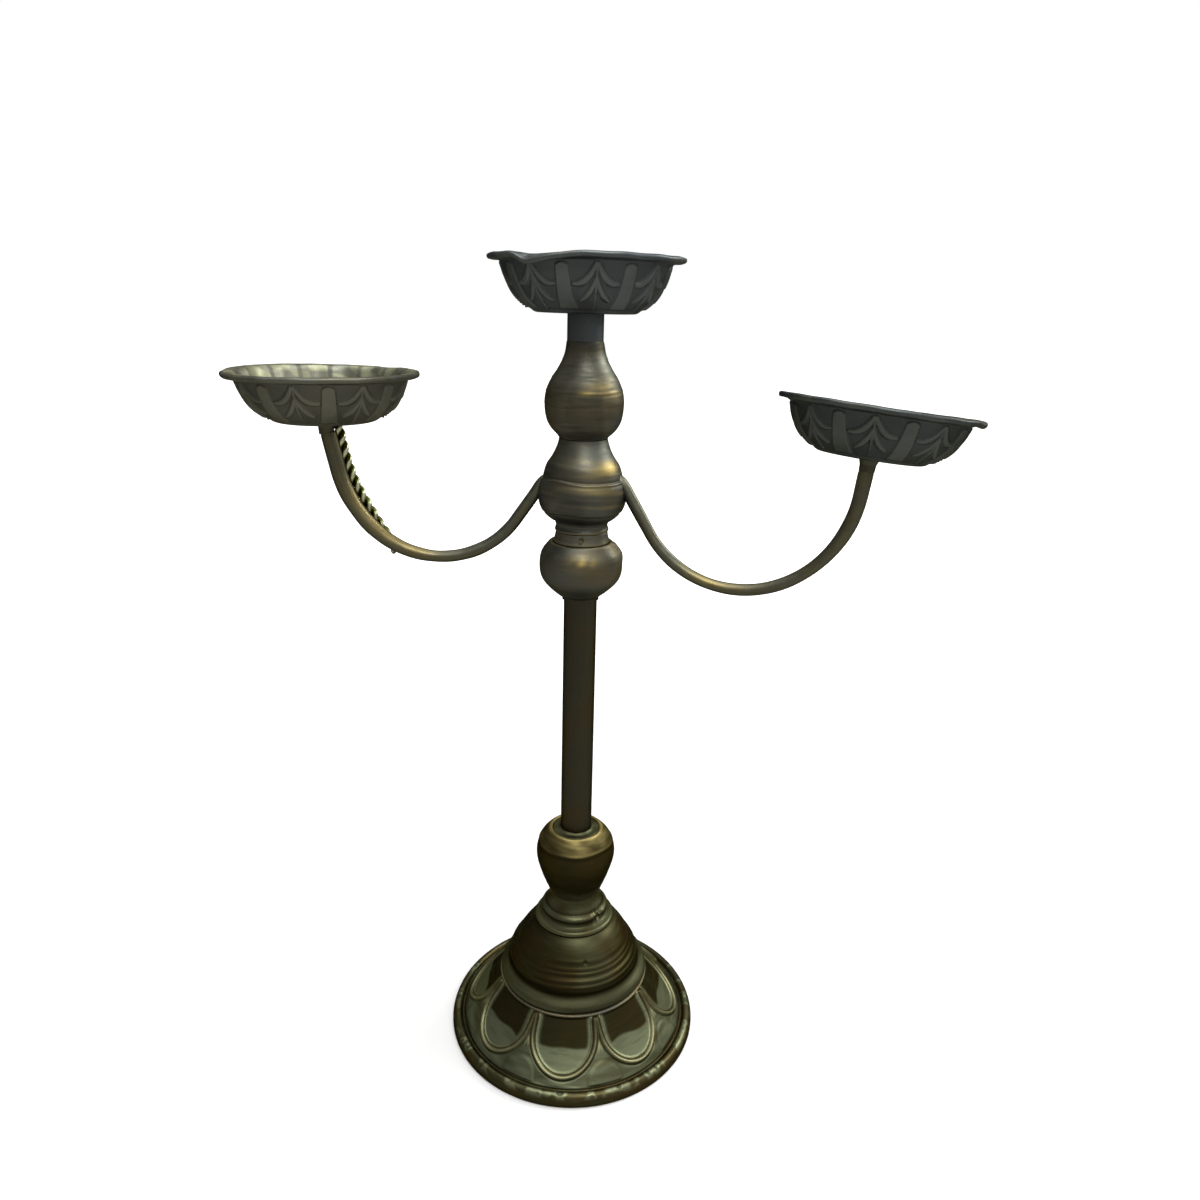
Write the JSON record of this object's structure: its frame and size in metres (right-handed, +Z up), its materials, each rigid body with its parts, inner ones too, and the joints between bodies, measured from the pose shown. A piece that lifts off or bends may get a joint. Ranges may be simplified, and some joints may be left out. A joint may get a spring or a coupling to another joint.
{
  "type": "three branch lamp stand",
  "caption": "Tall aged brass lamp stand with a flared petal foot, a knopped column, two curved side arms and shallow flanged pans.",
  "frame": {"origin": "centre of the foot's underside, on the column's axis", "axes": "+Z up the column, +X towards the right arm's side, -Y towards the front"},
  "size_m": [0.3251, 0.1404, 0.4012],
  "materials": {
    "foot_brass": "worn antique patina, green grey on the petals, dark brown in the hollows",
    "column_brass": "spun, dark antique patina with soft gold where it is rubbed",
    "tube_brass": "dark brown drawn tube",
    "pan_brass": "dark slate patina, brighter inside",
    "arm_brass": "dark olive patina with a rubbed gold underside",
    "strand_brass": "bright twisted wire, darker at its lower end",
    "plain_brass": "plain turned brass",
    "fixing_steel": "dull steel"
  },
  "bodies": {
    "column": {"base_plate": "foot_brass", "seat_ring": "foot_brass", "dome": "foot_brass", "foot_neck": "column_brass", "foot_knop": "column_brass", "knop_washer": "column_brass", "pole_tube": "tube_brass", "cup_ring": "column_brass", "cup_knop": "column_brass", "neck_collar": "column_brass", "collar_pin": "plain_brass", "tie_rod": "fixing_steel", "base_washer": "fixing_steel", "base_nut": "fixing_steel", "crown_knop": "column_brass", "top_ferrule": "tube_brass", "top_washer": "plain_brass", "top_nut": "plain_brass"},
    "arms": {"hub_core": "plain_brass", "hub_knop": "column_brass", "left_arm": "arm_brass", "right_arm": "arm_brass", "twisted_strand": "strand_brass", "left_seat": "arm_brass", "right_seat": "arm_brass", "left_pan_washer": "plain_brass", "right_pan_washer": "plain_brass", "left_pan_nut": "plain_brass", "right_pan_nut": "plain_brass"},
    "left_cup": {"left_pan": "pan_brass"},
    "right_cup": {"right_pan": "pan_brass"},
    "top_cup": {"top_pan": "pan_brass"}
  },
  "joints": [
    {"name": "hub_swivel", "type": "hinge", "parent": "column", "child": "arms", "pos_m": [0, 0, 0.304], "axis": [0, 0, 1], "continuous": true},
    {"name": "top_pan_turn", "type": "hinge", "parent": "column", "child": "top_cup", "pos_m": [0, 0, 0.3772], "axis": [0, 0, 1], "continuous": true},
    {"name": "left_pan_turn", "type": "hinge", "parent": "arms", "child": "left_cup", "pos_m": [-0.11507, -0.00724, 0.3289], "axis": [0, 0, 1], "continuous": true},
    {"name": "right_pan_turn", "type": "hinge", "parent": "arms", "child": "right_cup", "pos_m": [0.12178, -0.03195, 0.3224], "axis": [0.1149, 0.0645, 0.9913], "continuous": true}
  ]
}
